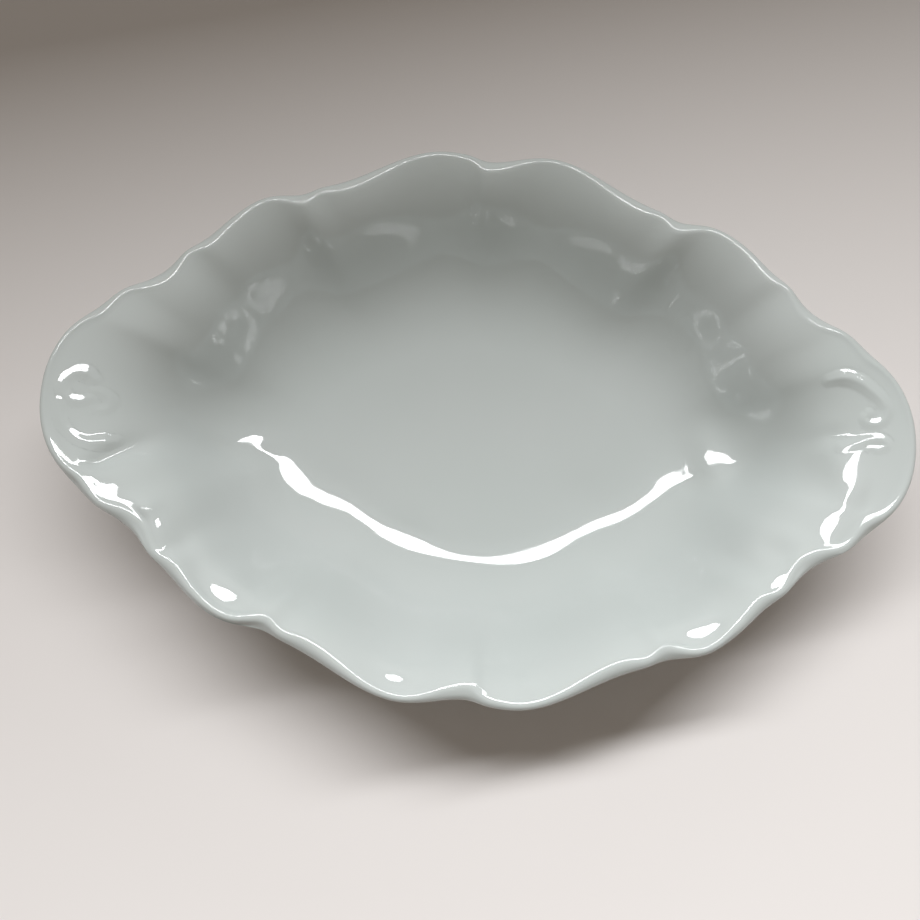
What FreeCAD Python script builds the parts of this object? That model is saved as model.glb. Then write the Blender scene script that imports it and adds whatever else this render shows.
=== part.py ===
import FreeCAD
import Part
import math
import os

os.makedirs("parts", exist_ok=True)

# White glazed porcelain serving bowl: a long lens-shaped bowl with a scalloped rim, a pointed
# flat well, scroll relief on the wide lips at both ends, and an oval foot ring underneath.
# The long axis is X, the short axis is Y, and the bowl stands on the plane Z = 0.

# ---- driving sizes, in millimetres ----
CREST_HALF_LENGTH = 148.1     # centre to the inner edge of the rim at either end
CREST_HALF_WIDTH = 94.5       # centre to the inner edge of the widest lobes
RIM_HEIGHT = 54.0             # table to the inner edge of the rim
WELL_FLOOR_HEIGHT = 9.5       # table to the flat floor of the well
WELL_HALF_LENGTH = 66.0       # flat floor, centre to its pointed ends
WELL_HALF_WIDTH = 37.0        # flat floor, centre to its sides
FLOOR_THICKNESS = 4.5
WALL_THICKNESS = 4.0
LIP_THICKNESS = 5.2           # the rounded rim is thicker than the wall
LIP_LEAN = 0.8                # how far the outer edge of the lip stands out past square
FOOT_HALF_LENGTH = 60.0       # middle line of the foot ring, centre to its ends
FOOT_HALF_WIDTH = 27.0        # middle line of the foot ring, centre to its sides
FOOT_TOP_WIDTH = 6.0
FOOT_BEARING_WIDTH = 3.0      # unglazed edge that the bowl stands on
FOOT_EDGE_BEVEL = 0.8         # sloping edge on either side of the bearing width
SCROLL_WIDTH = 4.4            # thickest part of an end scroll
CURL_WIDTH = 3.4              # thickest part of the inner curl beside it
RELIEF_SINK = 0.35            # share of a relief ridge's radius that lies below the wall

# ---- form of the wall ----
WELL_POINT = 1.45             # higher makes the ends of the well more pointed
FOOT_POINT = 1.4
COVE_REACH = 0.64             # share of the wall's run taken by the curve out of the floor
FLARE_REACH = 0.33            # share of the wall's run taken by the flare under the rim
FLARE_ANGLE = math.radians(28)  # slope of the wall where it meets the rim
END_COVE_REACH = 0.62         # the same three for the broad flat flanges at both ends
END_FLARE_REACH = 0.52
END_FLARE_ANGLE = math.radians(3)
END_START = 0.66              # share of the half length where the flanges start to form
END_FULL = 0.86               # and where they are full
RIB_RISE = 1.6                # how far the soft ribs under the rim notches stand in
RIB_SPREAD = 7.0              # reach of a rib to either side, along the rim
LIP_SOFTENING = 4             # how far the outer edge of the lip rounds off the notches of the rim
WALL_SOFTENING = 6            # how far the wall below it does
LIP_BANDS = 6                 # narrow bands that turn the rounded lip over
RIDGE_SIDES = 6               # flats round a relief ridge, of which the wall hides the lowest
RIDGE_SECTIONS = 12           # sections along a relief ridge

# Control points of the rim. The notch in the middle of a long side falls steeply on one hand and
# rises slowly on the other, and the bowl is the same turned half round. From the notch to an end
# come a side lobe, a shoulder lobe, a corner lobe, a hollow and the end lobe, a row for each:
# beside the slow rise, and beside the steep fall, whose points are mirrored.
NOTCH_FALL = [(-11.9, 94.2), (-6.9, 93.1), (-4, 89.6)]
NOTCH_RISE = [(0, 89.6), (5.9, 91.1), (12.3, 93.7)]
RISE_LOBES = [
    (19.8, 95.2), (28.7, 92.9), (37.5, 87.5), (46.4, 81.1), (54.3, 77.2), (59.5, 76.6),
    (62.5, 74.6), (65.3, 71.0), (70.0, 71.2), (77.0, 72.8), (83.0, 70.6), (87.3, 67.5),
    (92.6, 63.0), (97.6, 56.0), (101.4, 54.2), (105.8, 52.4),
    (108.3, 44.9), (112.6, 40.5), (118.5, 38.0), (124.9, 37.3),
    (129.2, 33.2), (132.7, 28.0), (137.3, 26.2), (143.0, 20.8), (146.9, 12.6), (148.4, 5.0),
]
FALL_LOBES = [
    (19.8, 95.2), (28.6, 92.6), (37.5, 87.3), (46.4, 81.2), (54.3, 77.9), (59.8, 77.9),
    (62.7, 75.8), (65.5, 72.6), (70.1, 73.0), (77.0, 74.2), (83.0, 71.3), (87.0, 67.2),
    (91.9, 62.0), (96.8, 54.8), (100.8, 53.6), (105.5, 51.8),
    (108.0, 43.9), (112.2, 39.7), (118.3, 37.4), (124.7, 36.9),
    (128.9, 32.5), (132.0, 26.9), (137.0, 25.6), (142.9, 20.9), (146.9, 12.6), (148.4, 5.0),
]
RIB_POINTS = [(59.8, 77.9), (105.5, 51.8)]

# Middle lines of the relief, seen from above: distance in from that end of the rim's inner edge,
# distance from the bowl's middle line, and share of the full width there.
RIGHT_SCROLL = [
    (26, 22.5, 0.3), (21, 23.4, 0.8), (15, 22, 1), (10, 18.6, 1), (6.7, 14, 0.9),
    (6, 10, 0.7), (8, 7, 0.6), (11.2, 6.4, 0.5), (13, 8.4, 0.4),
]
RIGHT_CURL = [
    (21, -1.5, 0.9), (17, -0.3, 1), (13, 1, 0.8), (9, 1.2, 0.7),
    (7, -0.4, 0.6), (9, -2.2, 0.5), (12, -2, 0.4),
]
LEFT_SCROLL = [
    (13.7, 5.4, 0.4), (11.2, 7, 0.8), (7.4, 6.2, 1), (4.7, 2.6, 1), (4, -3, 0.9),
    (5.2, -9, 0.8), (8.4, -14, 0.8), (13.8, -16.8, 0.7), (20.2, -16.4, 0.4),
]
LEFT_CURL = [
    (14.2, 1.2, 0.4), (17.6, 0.6, 0.8), (20, -1.8, 1), (19, -4.6, 0.8), (16.2, -5.4, 0.4),
]


def vector(x, y, z=0.0):
    return FreeCAD.Vector(x, y, z)


def rim_ring():
    """Control points all round the rim, clockwise, stretched so that their curve has its size."""
    half = NOTCH_RISE + RISE_LOBES + [(x, -y) for x, y in reversed(FALL_LOBES)]
    half += [(-x, -y) for x, y in NOTCH_FALL]
    ring = [vector(x, y) for x, y in half] + [vector(-x, -y) for x, y in half]
    curve = Part.BSplineCurve()
    curve.buildFromPolesMultsKnots(ring, [1] * (len(ring) + 1), list(range(len(ring) + 1)), True, 3)
    box = curve.toShape().optimalBoundingBox()
    return [vector(p.x * CREST_HALF_LENGTH / box.XMax, p.y * CREST_HALF_WIDTH / box.YMax) for p in ring]


def softened(ring, passes):
    """The same ring with its notches rounded off, more with each pass."""
    for _ in range(passes):
        ring = [(ring[i - 1] + ring[i] * 2 + ring[(i + 1) % len(ring)]) / 4 for i in range(len(ring))]
    return ring


def turns_round(ring):
    """Angle round the bowl of each control point, even along the rim and 0 at a side's middle."""
    steps = [(ring[(i + 1) % len(ring)] - ring[i]).Length for i in range(len(ring))]
    return [2 * math.pi * sum(steps[:i]) / sum(steps) for i in range(len(ring))]


def outward(ring):
    """Unit vectors that point out of the ring in plan at each control point."""
    normals = []
    for i in range(len(ring)):
        along = ring[(i + 1) % len(ring)] - ring[i - 1]
        normals.append(vector(-along.y, along.x).normalize())
    return normals


def pointed_oval(half_length, half_width, point, turn):
    """Point of a pointed oval at an angle from the middle of its side."""
    side = math.copysign(abs(math.cos(turn)) ** point, math.cos(turn))
    return vector(half_length * math.sin(turn), half_width * side)


def lifted(ring, height):
    return [vector(p.x, p.y, height) for p in ring]


def skin(rings):
    """Smooth surface whose section runs from the first ring to the last, guided by the others."""
    count = len(rings[0])
    degree = len(rings) - 1
    surface = Part.BSplineSurface()
    surface.buildFromPolesMultsKnots(
        [list(poles) for poles in zip(*rings)],
        [1] * (count + 1),
        [degree + 1] * 2,
        list(range(count + 1)),
        [0, 1],
        True,
        False,
        3,
        degree,
    )
    return surface


def solid_of(surfaces):
    """Closed solid from skins, with flat faces over the open rings at both ends."""
    first_edge = surfaces[0].vIso(0).toShape()
    last_edge = surfaces[-1].vIso(1).toShape()
    faces = [Part.Face(Part.Wire(first_edge))]
    faces += [surface.toShape() for surface in surfaces]
    faces.append(Part.Face(Part.Wire(last_edge)))
    shell = Part.Shell(faces)
    shell.sewShape()
    solid = Part.Solid(shell)
    if solid.Volume < 0:
        solid.reverse()
    return solid


RIM = rim_ring()
LIP_RIM = softened(RIM, LIP_SOFTENING)
WALL_RIM = softened(RIM, WALL_SOFTENING)
TURNS = turns_round(RIM)
OUT = outward(LIP_RIM)
UNDERSIDE_HEIGHT = WELL_FLOOR_HEIGHT - FLOOR_THICKNESS
MIDDLE_WEIGHT = 3 / 8         # pull of an inner control ring on the middle of a cubic section
UP = vector(0, 0, 1)


def rib_rise(index):
    """How far the soft ribs stand in at a control point of the rim."""
    point = LIP_RIM[index]
    rise = 0.0
    for x, y in RIB_POINTS:
        away = math.hypot(abs(point.x) - x, abs(point.y) - y)
        rise += RIB_RISE * math.exp(-((away / RIB_SPREAD) ** 2))
    return rise


def end_share(index):
    """How much of an end flange there is at a control point of the rim, from 0 to 1."""
    share = (abs(WALL_RIM[index].x) / CREST_HALF_LENGTH - END_START) / (END_FULL - END_START)
    share = min(max(share, 0), 1)
    return share * share * (3 - 2 * share)


def inner_wall():
    """Inside of the bowl, from the edge of the flat floor to the inner edge of the rim."""
    floor = [pointed_oval(WELL_HALF_LENGTH, WELL_HALF_WIDTH, WELL_POINT, turn) for turn in TURNS]
    cove = []
    flare = []
    for i in range(len(floor)):
        end = end_share(i)
        cove.append(floor[i] + (WALL_RIM[i] - floor[i]) * (COVE_REACH + (END_COVE_REACH - COVE_REACH) * end))
        step = (floor[i] - WALL_RIM[i]) * (FLARE_REACH + (END_FLARE_REACH - FLARE_REACH) * end)
        drop = UP * (step.Length * math.tan(FLARE_ANGLE + (END_FLARE_ANGLE - FLARE_ANGLE) * end))
        flare.append(WALL_RIM[i] + step - OUT[i] * rib_rise(i) + UP * RIM_HEIGHT - drop)
    return [lifted(floor, WELL_FLOOR_HEIGHT), lifted(cove, WELL_FLOOR_HEIGHT), flare, lifted(RIM, RIM_HEIGHT)]


def through_lip(out):
    """Step from the inside to the outside of the rim, square to the wall of the sides."""
    return (out * math.sin(FLARE_ANGLE) - UP * math.cos(FLARE_ANGLE)) * LIP_THICKNESS


def lip_rings(crest):
    """Rings of the rounded lip, from the inner edge of the rim over and down to its outer edge."""
    under = [soft + UP * RIM_HEIGHT + through_lip(out) + out * LIP_LEAN for soft, out in zip(LIP_RIM, OUT)]
    rings = []
    for band in range(LIP_BANDS + 1):
        turn = math.pi * band / LIP_BANDS
        ring = []
        for top, bottom, out in zip(crest, under, OUT):
            over = out * math.cos(FLARE_ANGLE) + UP * math.sin(FLARE_ANGLE)
            middle = (top + bottom) / 2
            outwards = over * (LIP_THICKNESS / 2 * math.sin(turn))
            ring.append(middle + (top - middle) * math.cos(turn) + outwards)
        rings.append(ring)
    return rings


def outer_wall(inner, under):
    """Outside of the bowl, from the lip down to the flat underside, a wall's thickness away."""
    floor, cove, flare, crest = inner
    outer_flare = []
    outer_cove = []
    for i in range(len(floor)):
        down = vector(0, 0, UNDERSIDE_HEIGHT - WELL_FLOOR_HEIGHT)
        through = through_lip(OUT[i])
        slope = flare[i] + crest[i] - cove[i] - floor[i]
        normal = (OUT[i] * slope.z - UP * slope.dot(OUT[i])).normalize()
        missing = WALL_THICKNESS - (down + through).dot(normal) / 2
        reach = cove[i] - floor[i]
        push = missing / (reach.dot(normal) * MIDDLE_WEIGHT)
        outer_flare.append(flare[i] + through)
        outer_cove.append(cove[i] + down + reach * push)
    return [under, outer_flare, outer_cove, lifted(floor, UNDERSIDE_HEIGHT)]


def make_body():
    """The moulded body: flat well, panelled wall and scalloped lip in one closed shell."""
    inner = inner_wall()
    lip = lip_rings(inner[-1])
    bands = [skin([start, end]) for start, end in zip(lip, lip[1:])]
    return solid_of([skin(inner)] + bands + [skin(outer_wall(inner, lip[-1]))])


def make_foot(body):
    """Oval foot ring, tapering to a narrow bearing edge, luted to the underside of the body."""
    count = 32
    turns = [2 * math.pi * i / count for i in range(count)]
    middle = [pointed_oval(FOOT_HALF_LENGTH, FOOT_HALF_WIDTH, FOOT_POINT, turn) for turn in turns]
    normals = outward(middle)
    blank_top = UNDERSIDE_HEIGHT + FLOOR_THICKNESS / 2

    def plug(side):
        """Solid inside the outer (side 1) or the inner (side -1) wall of the ring."""
        section = [
            (FOOT_TOP_WIDTH / 2, blank_top),
            (FOOT_TOP_WIDTH / 2, UNDERSIDE_HEIGHT),
            (FOOT_BEARING_WIDTH / 2 + FOOT_EDGE_BEVEL, FOOT_EDGE_BEVEL),
            (FOOT_BEARING_WIDTH / 2, 0),
        ]
        rings = [lifted([m + n * side * reach for m, n in zip(middle, normals)], z) for reach, z in section]
        return solid_of([skin([start, end]) for start, end in zip(rings, rings[1:])])

    return plug(1).cut(plug(-1)).cut(body)


def on_wall(wall, x, y):
    """Point of the inner wall straight above a place in plan, and the wall's normal there."""
    upright = Part.LineSegment(vector(x, y, 0), vector(x, y, RIM_HEIGHT + LIP_THICKNESS))
    hit = upright.intersectCS(wall)[0][0]
    point = vector(hit.X, hit.Y, hit.Z)
    normal = wall.normal(*wall.parameter(point))
    return point, normal * math.copysign(1, normal.z)


def make_relief(end, path, width, body):
    """Raised ridge on the inner wall at one end (1 right, -1 left), thinner towards its tips."""
    wall = skin(inner_wall())
    line = Part.BSplineCurve()
    line.interpolate([vector(end * (CREST_HALF_LENGTH - inset), y, share) for inset, y, share in path])
    stations = line.discretize(Number=RIDGE_SECTIONS)
    spots = [on_wall(wall, station.x, station.y) for station in stations]
    sections = []
    for i, (place, normal) in enumerate(spots):
        before = spots[max(i - 1, 0)][0]
        after = spots[min(i + 1, len(spots) - 1)][0]
        aside = (after - before).cross(normal).normalize()
        radius = width / 2 * stations[i].z
        centre = place - normal * radius * RELIEF_SINK
        corners = []
        for k in range(RIDGE_SIDES + 1):
            turn = 2 * math.pi * (k + 0.5) / RIDGE_SIDES
            corners.append(centre + (aside * math.sin(turn) + normal * math.cos(turn)) * radius)
        sections.append(Part.makePolygon(corners))
    return Part.makeLoft(sections, True, False).cut(body)


body = make_body()
pieces = {
    "bowl_body": body,
    "foot_ring": make_foot(body),
    "right_scroll": make_relief(1, RIGHT_SCROLL, SCROLL_WIDTH, body),
    "right_curl": make_relief(1, RIGHT_CURL, CURL_WIDTH, body),
    "left_scroll": make_relief(-1, LEFT_SCROLL, SCROLL_WIDTH, body),
    "left_curl": make_relief(-1, LEFT_CURL, CURL_WIDTH, body),
}
for name, shape in pieces.items():
    print(name, shape.ShapeType, len(shape.Solids), shape.isValid(), round(shape.Volume, 1), shape.BoundBox)
    shape.exportStep("parts/" + name + ".step")
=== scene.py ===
import math

import bpy
from mathutils import Matrix, Vector


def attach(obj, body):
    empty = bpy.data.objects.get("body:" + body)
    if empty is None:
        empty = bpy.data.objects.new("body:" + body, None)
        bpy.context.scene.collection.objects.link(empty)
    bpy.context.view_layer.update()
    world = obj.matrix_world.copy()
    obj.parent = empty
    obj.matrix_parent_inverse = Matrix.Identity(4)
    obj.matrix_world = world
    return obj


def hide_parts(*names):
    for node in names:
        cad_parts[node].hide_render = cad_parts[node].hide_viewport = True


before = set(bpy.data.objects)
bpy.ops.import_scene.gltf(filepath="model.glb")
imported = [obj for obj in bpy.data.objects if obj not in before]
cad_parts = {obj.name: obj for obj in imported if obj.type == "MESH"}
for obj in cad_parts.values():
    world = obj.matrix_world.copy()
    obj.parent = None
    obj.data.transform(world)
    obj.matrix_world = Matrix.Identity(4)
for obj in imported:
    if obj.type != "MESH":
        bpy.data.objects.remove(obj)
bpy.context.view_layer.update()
MM = 0.001

# ---- Bowl body ----
# An oval serving bowl of white porcelain, moulded in one piece: a flat pointed well, a wall of soft
# panels between ribs, and a scalloped rim with a full round lip. It is fired once bare and once
# under a clear, slightly green glaze, which pools in the hollows and thins over the edges.
CREST_HALF_LENGTH = 147.95 * MM
CREST_HALF_WIDTH = 94.35 * MM
RIM_HEIGHT = 53.95 * MM
WELL_FLOOR_HEIGHT = 9.5 * MM
WELL_HALF_LENGTH = 66.0 * MM
WELL_HALF_WIDTH = 37.0 * MM
WELL_POINT = 1.45
FLOOR_THICKNESS = 4.5 * MM
WALL_THICKNESS = 4.0 * MM
LIP_THICKNESS = 5.05 * MM
LIP_LEAN = 0.8 * MM
COVE_REACH = 0.64
FLARE_REACH = 0.33
FLARE_ANGLE = math.radians(28)
END_COVE_REACH = 0.62         # the same three for the broad flat flanges at both ends
END_FLARE_REACH = 0.52
END_FLARE_ANGLE = math.radians(3)
END_START = 0.66              # share of the half length where the flanges start to form
END_FULL = 0.86               # and where they are full
RIB_RISE = 1.6 * MM
RIB_SPREAD = 7.0 * MM
LIP_SOFTENING = 4             # how far the outer edge of the lip rounds off the notches of the rim
WALL_SOFTENING = 6            # how far the wall below it does
MIDDLE_WEIGHT = 3 / 8
UNDERSIDE_HEIGHT = WELL_FLOOR_HEIGHT - FLOOR_THICKNESS
UP = Vector((0, 0, 1))

# Control points of the rim in plan, in millimetres: the notch of a long side, then a row each for
# the side, shoulder and corner lobes, the hollow and the end lobe, beside its slow rise and beside
# its steep fall.
NOTCH_FALL = [(-11.9, 94.2), (-6.9, 93.1), (-4, 89.6)]
NOTCH_RISE = [(0, 89.6), (5.9, 91.1), (12.3, 93.7)]
RISE_LOBES = [
    (19.8, 95.2), (28.7, 92.9), (37.5, 87.5), (46.4, 81.1), (54.3, 77.2), (59.5, 76.6),
    (62.5, 74.6), (65.3, 71.0), (70.0, 71.2), (77.0, 72.8), (83.0, 70.6), (87.3, 67.5),
    (92.6, 63.0), (97.6, 56.0), (101.4, 54.2), (105.8, 52.4),
    (108.3, 44.9), (112.6, 40.5), (118.5, 38.0), (124.9, 37.3),
    (129.2, 33.2), (132.7, 28.0), (137.3, 26.2), (143.0, 20.8), (146.9, 12.6), (148.4, 5.0),
]
FALL_LOBES = [
    (19.8, 95.2), (28.6, 92.6), (37.5, 87.3), (46.4, 81.2), (54.3, 77.9), (59.8, 77.9),
    (62.7, 75.8), (65.5, 72.6), (70.1, 73.0), (77.0, 74.2), (83.0, 71.3), (87.0, 67.2),
    (91.9, 62.0), (96.8, 54.8), (100.8, 53.6), (105.5, 51.8),
    (108.0, 43.9), (112.2, 39.7), (118.3, 37.4), (124.7, 36.9),
    (128.9, 32.5), (132.0, 26.9), (137.0, 25.6), (142.9, 20.9), (146.9, 12.6), (148.4, 5.0),
]
RIB_POINTS = [(59.8, 77.9), (105.5, 51.8)]
ROUND_STEPS = 6               # mesh columns from one control point of the rim to the next


def neighbours(ring):
    """Each point of a closed ring with the ones before and after it."""
    return [(ring[i - 1], ring[i], ring[(i + 1) % len(ring)]) for i in range(len(ring))]


def spline_reach(ring):
    """How far a closed cubic spline reaches along X and Y."""
    points = [(before + point * 4 + after) / 6 for before, point, after in neighbours(ring)]
    return max(p.x for p in points), max(p.y for p in points)


def rim_ring():
    """Control points all round the rim, clockwise, stretched so that their curve has its size."""
    half = NOTCH_RISE + RISE_LOBES + [(x, -y) for x, y in reversed(FALL_LOBES)]
    half += [(-x, -y) for x, y in NOTCH_FALL]
    ring = [Vector((x, y, 0)) for x, y in half] + [Vector((-x, -y, 0)) for x, y in half]
    reach_x, reach_y = spline_reach(ring)
    return [
        Vector((p.x * CREST_HALF_LENGTH / reach_x, p.y * CREST_HALF_WIDTH / reach_y, 0))
        for p in ring
    ]


def softened(ring, passes):
    """The same ring with its notches rounded off, more with each pass."""
    for _ in range(passes):
        ring = [(before + point * 2 + after) / 4 for before, point, after in neighbours(ring)]
    return ring


def outward(ring):
    """Unit vectors that point out of a clockwise ring in plan."""
    steps = [after - before for before, _, after in neighbours(ring)]
    return [Vector((-step.y, step.x, 0)).normalized() for step in steps]


def pointed_oval(half_length, half_width, point, turn):
    """Point of a pointed oval at an angle from the middle of its side."""
    side = math.copysign(abs(math.cos(turn)) ** point, math.cos(turn))
    return Vector((half_length * math.sin(turn), half_width * side, 0))


def lifted(ring, height):
    """The same ring at a height."""
    return [Vector((p.x, p.y, height)) for p in ring]


def end_share(x):
    """How much of an end flange there is at a place along the bowl."""
    share = (abs(x) / CREST_HALF_LENGTH - END_START) / (END_FULL - END_START)
    share = min(max(share, 0), 1)
    return share * share * (3 - 2 * share)


def rib_rise(place):
    """How far the ribs push the wall in at a place in plan."""
    rise = 0.0
    for x, y in RIB_POINTS:
        away = math.hypot(abs(place.x) - x * MM, abs(place.y) - y * MM)
        rise += RIB_RISE * math.exp(-((away / RIB_SPREAD) ** 2))
    return rise


def wall_rings():
    """Control rings of the whole section: inner wall, lip and outer wall."""
    rim = rim_ring()
    lip = softened(rim, LIP_SOFTENING)
    soft = softened(rim, WALL_SOFTENING)
    out = outward(lip)
    steps = [(after - point).length for _, point, after in neighbours(rim)]
    turns = [2 * math.pi * sum(steps[:i]) / sum(steps) for i in range(len(rim))]
    oval = [pointed_oval(WELL_HALF_LENGTH, WELL_HALF_WIDTH, WELL_POINT, turn) for turn in turns]
    floor = lifted(oval, WELL_FLOOR_HEIGHT)
    cove = []
    for f, s in zip(floor, soft):
        reach = COVE_REACH + (END_COVE_REACH - COVE_REACH) * end_share(s.x)
        cove.append(f + Vector((s.x - f.x, s.y - f.y, 0)) * reach)
    crest = lifted(rim, RIM_HEIGHT)
    flare, brow, under, outer_flare, outer_cove = [], [], [], [], []
    for i, s in enumerate(soft):
        end = end_share(s.x)
        step = (oval[i] - s) * (FLARE_REACH + (END_FLARE_REACH - FLARE_REACH) * end)
        drop = UP * (step.length * math.tan(FLARE_ANGLE + (END_FLARE_ANGLE - FLARE_ANGLE) * end))
        flare.append(s + step - out[i] * rib_rise(lip[i]) + UP * RIM_HEIGHT - drop)
        through = out[i] * math.sin(FLARE_ANGLE) - UP * math.cos(FLARE_ANGLE)
        over = out[i] * math.cos(FLARE_ANGLE) + UP * math.sin(FLARE_ANGLE)
        under.append(lip[i] + UP * RIM_HEIGHT + through * LIP_THICKNESS + out[i] * LIP_LEAN)
        brow.append((crest[i] + under[i]) / 2 + over * LIP_THICKNESS / 2)
        down = UP * (UNDERSIDE_HEIGHT - WELL_FLOOR_HEIGHT)
        slope = flare[i] + crest[i] - cove[i] - floor[i]
        normal = (out[i] * slope.z - UP * slope.dot(out[i])).normalized()
        missing = WALL_THICKNESS - (down + through * LIP_THICKNESS).dot(normal) / 2
        reach = cove[i] - floor[i]
        outer_flare.append(flare[i] + through * LIP_THICKNESS)
        outer_cove.append(cove[i] + down + reach * (missing / (reach.dot(normal) * MIDDLE_WEIGHT)))
    underside = lifted(oval, UNDERSIDE_HEIGHT)
    return [floor, cove, flare, crest, brow, under, outer_flare, outer_cove, underside]


def new_object(name, data):
    """An object in the scene, at the origin."""
    made = bpy.data.objects.new(name, data)
    bpy.context.scene.collection.objects.link(made)
    return made


def rings_object(name, rings, steps):
    """A curve object of closed cubic splines, with so many steps to a control point."""
    curve = bpy.data.curves.new(name, "CURVE")
    curve.dimensions = "3D"
    for ring in rings:
        spline = curve.splines.new("NURBS")
        spline.points.add(len(ring) - 1)
        for point, place in zip(spline.points, ring):
            point.co = (*place, 1)
        spline.use_cyclic_u = True
        spline.order_u = 4
        spline.resolution_u = steps
    return new_object(name, curve)


def add(tree, kind, inputs=None, **settings):
    """Add a node with its settings; each input is linked to a socket or set to a value."""
    made = tree.nodes.new(kind)
    for name, value in settings.items():
        setattr(made, name, value)
    for key, value in (inputs or {}).items():
        if isinstance(value, bpy.types.NodeSocket):
            tree.links.new(value, made.inputs[key])
        else:
            made.inputs[key].default_value = value
    return made


def calc(tree, operation, *values):
    """Output of a Math node."""
    return add(tree, "ShaderNodeMath", dict(enumerate(values)), operation=operation).outputs[0]


def product(tree, *values):
    """Product of numbers and number sockets."""
    result = values[0]
    for value in values[1:]:
        result = calc(tree, "MULTIPLY", result, value)
    return result


def vector_calc(tree, operation, vector, other):
    """Output of a Vector Math node; the second value is a vector, or a number to scale by."""
    inputs = {0: vector, "Scale" if operation == "SCALE" else 1: other}
    return add(tree, "ShaderNodeVectorMath", inputs, operation=operation).outputs[0]


def remapped(tree, value, span, target=(0.0, 1.0), **settings):
    """A value mapped from one span to another, and held inside it."""
    inputs = {"Value": value, "From Min": span[0], "From Max": span[1]}
    inputs.update({"To Min": target[0], "To Max": target[1]})
    return add(tree, "ShaderNodeMapRange", inputs, **settings).outputs[0]


def field(tree, kind):
    """Output of an input node, such as the position or the index."""
    return tree.nodes.new(kind).outputs[0]


def component(tree, vector, axis):
    """One component of a vector socket."""
    return add(tree, "ShaderNodeSeparateXYZ", {0: vector}).outputs[axis]


def in_plan(tree, height=0.0):
    """The position in plan, at a height."""
    parts = add(tree, "ShaderNodeSeparateXYZ", {0: field(tree, "GeometryNodeInputPosition")})
    inputs = {"X": parts.outputs["X"], "Y": parts.outputs["Y"], "Z": height}
    return add(tree, "ShaderNodeCombineXYZ", inputs).outputs[0]


def sampled(tree, geometry, value, index, data_type="FLOAT_VECTOR"):
    """The value that a geometry has at an index."""
    inputs = {"Geometry": geometry, "Value": value, "Index": index}
    return add(tree, "GeometryNodeSampleIndex", inputs, data_type=data_type).outputs[0]


def moved(tree, geometry, **how):
    """The geometry with its points at a Position, or shifted by an Offset."""
    return add(tree, "GeometryNodeSetPosition", {"Geometry": geometry, **how}).outputs[0]


def merged(tree, geometry, distance):
    """The geometry with the points of its seams merged."""
    inputs = {"Geometry": geometry, "Distance": distance}
    return add(tree, "GeometryNodeMergeByDistance", inputs).outputs[0]


def smooth(tree, geometry):
    """The geometry shaded smooth."""
    return add(tree, "GeometryNodeSetShadeSmooth", {"Geometry": geometry}).outputs[0]


def new_tree(name, inputs, kind="GeometryNodeTree", outputs=(("Geometry", "NodeSocketGeometry"),)):
    """An empty node tree with named sockets, and its input and output nodes."""
    tree = bpy.data.node_groups.new(name, kind)
    for label, socket in inputs:
        tree.interface.new_socket(label, in_out="INPUT", socket_type=socket)
    for label, socket in outputs:
        tree.interface.new_socket(label, in_out="OUTPUT", socket_type=socket)
    return tree, tree.nodes.new("NodeGroupInput"), tree.nodes.new("NodeGroupOutput")


def send_out(tree, end, geometry, material):
    """Realize a geometry, give it its material and make it the output of the tree."""
    realized = add(tree, "GeometryNodeRealizeInstances", {"Geometry": geometry})
    inputs = {"Geometry": realized.outputs[0], "Material": material}
    made = add(tree, "GeometryNodeSetMaterial", inputs)
    tree.links.new(made.outputs[0], end.inputs[0])


def cell_grid(tree, columns, rows):
    """A grid of so many faces each way, and the column and the row of each of its points."""
    points = calc(tree, "ADD", rows, 1)
    inputs = {"Vertices X": calc(tree, "ADD", columns, 1), "Vertices Y": points}
    grid = add(tree, "GeometryNodeMeshGrid", inputs)
    index = field(tree, "GeometryNodeInputIndex")
    column = calc(tree, "FLOOR", calc(tree, "DIVIDE", calc(tree, "ADD", index, 0.5), points))
    row = calc(tree, "SUBTRACT", index, calc(tree, "MULTIPLY", column, points))
    return grid.outputs[0], column, row


BAND_SOCKETS = [
    ("Rings", "NodeSocketGeometry"),
    ("Columns Round", "NodeSocketInt"),
    ("First Column", "NodeSocketInt"),
    ("Columns", "NodeSocketInt"),
    ("Rows", "NodeSocketInt"),
    ("From", "NodeSocketFloat"),
    ("To", "NodeSocketFloat"),
    ("First Ring", "NodeSocketInt"),
]


def band_tree(name, weights):
    """A tree that skins rings: weights gives each ring's share from the place along the section."""
    tree, start, end = new_tree(name, BAND_SOCKETS)
    around = start.outputs["Columns Round"]
    grid, column, row = cell_grid(tree, start.outputs["Columns"], start.outputs["Rows"])
    share = calc(tree, "DIVIDE", row, start.outputs["Rows"])
    reach = calc(tree, "SUBTRACT", start.outputs["To"], start.outputs["From"])
    place = calc(tree, "MULTIPLY_ADD", share, reach, start.outputs["From"])
    shifted = calc(tree, "ADD", column, start.outputs["First Column"])
    wrapped = calc(tree, "FLOORED_MODULO", shifted, around)
    position = field(tree, "GeometryNodeInputPosition")
    skin = None
    for number, weight in enumerate(weights(tree, place)):
        ring = calc(tree, "ADD", start.outputs["First Ring"], number)
        at = calc(tree, "MULTIPLY_ADD", ring, around, wrapped)
        part = vector_calc(
            tree, "SCALE", sampled(tree, start.outputs["Rings"], position, at), weight
        )
        skin = vector_calc(tree, "ADD", skin, part) if skin else part
    tree.links.new(moved(tree, grid, Position=skin), end.inputs[0])
    return tree


def bezier_weights(tree, place):
    """Shares of four rings in a cubic section."""
    rest = calc(tree, "SUBTRACT", 1, place)
    rest_2 = product(tree, rest, rest)
    place_2 = product(tree, place, place)
    return [
        product(tree, rest_2, rest),
        product(tree, rest_2, place, 3),
        product(tree, place_2, rest, 3),
        product(tree, place_2, place),
    ]


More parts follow.
